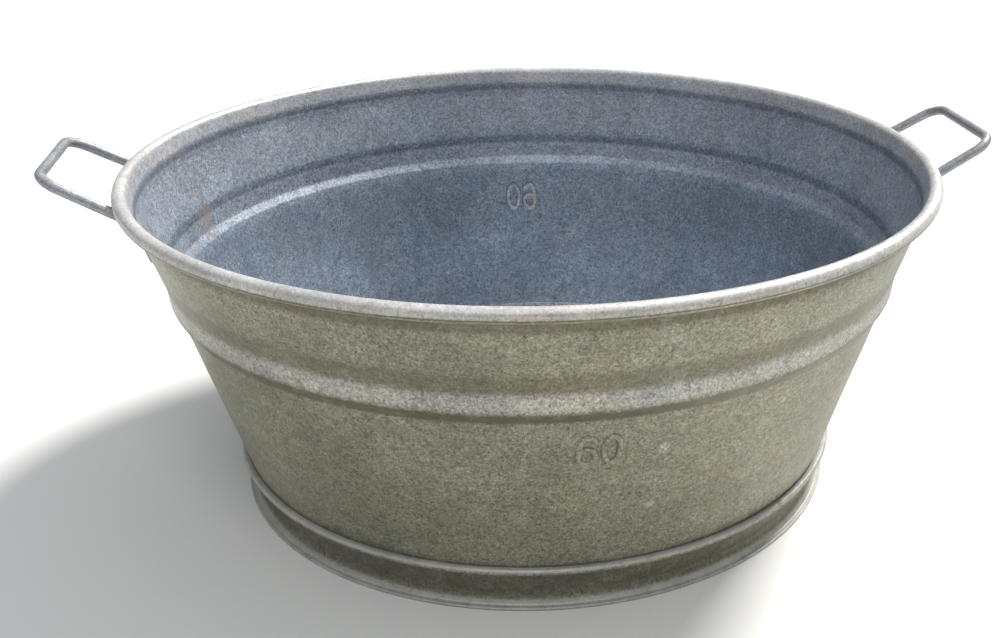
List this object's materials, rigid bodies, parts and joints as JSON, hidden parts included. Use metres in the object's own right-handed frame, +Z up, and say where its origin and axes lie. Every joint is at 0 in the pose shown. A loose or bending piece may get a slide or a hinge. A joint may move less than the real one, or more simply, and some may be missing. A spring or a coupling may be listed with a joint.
{
  "type": "round zinc wash tub",
  "caption": "Round galvanised wash tub with a rolled wired rim, a swaged rib, a flared standing foot hoop and two fixed round-bar handles.",
  "frame": {"origin": "centre of the foot ring on the ground, under the middle of the tub", "axes": "+X towards the right-hand handle, +Y away from the numbered front, +Z up"},
  "size_m": [0.746, 0.648, 0.28],
  "materials": {
    "zinc_sheet": "satin",
    "zinc_bar": "satin",
    "rim_steel": "satin"
  },
  "bodies": {
    "root": {"wall_front": "zinc_sheet", "wall_back": "zinc_sheet", "rim_wire": "rim_steel", "bottom_sheet": "zinc_sheet", "foot_hoop": "zinc_sheet", "handle_left": "zinc_bar", "handle_right": "zinc_bar"}
  },
  "joints": []
}
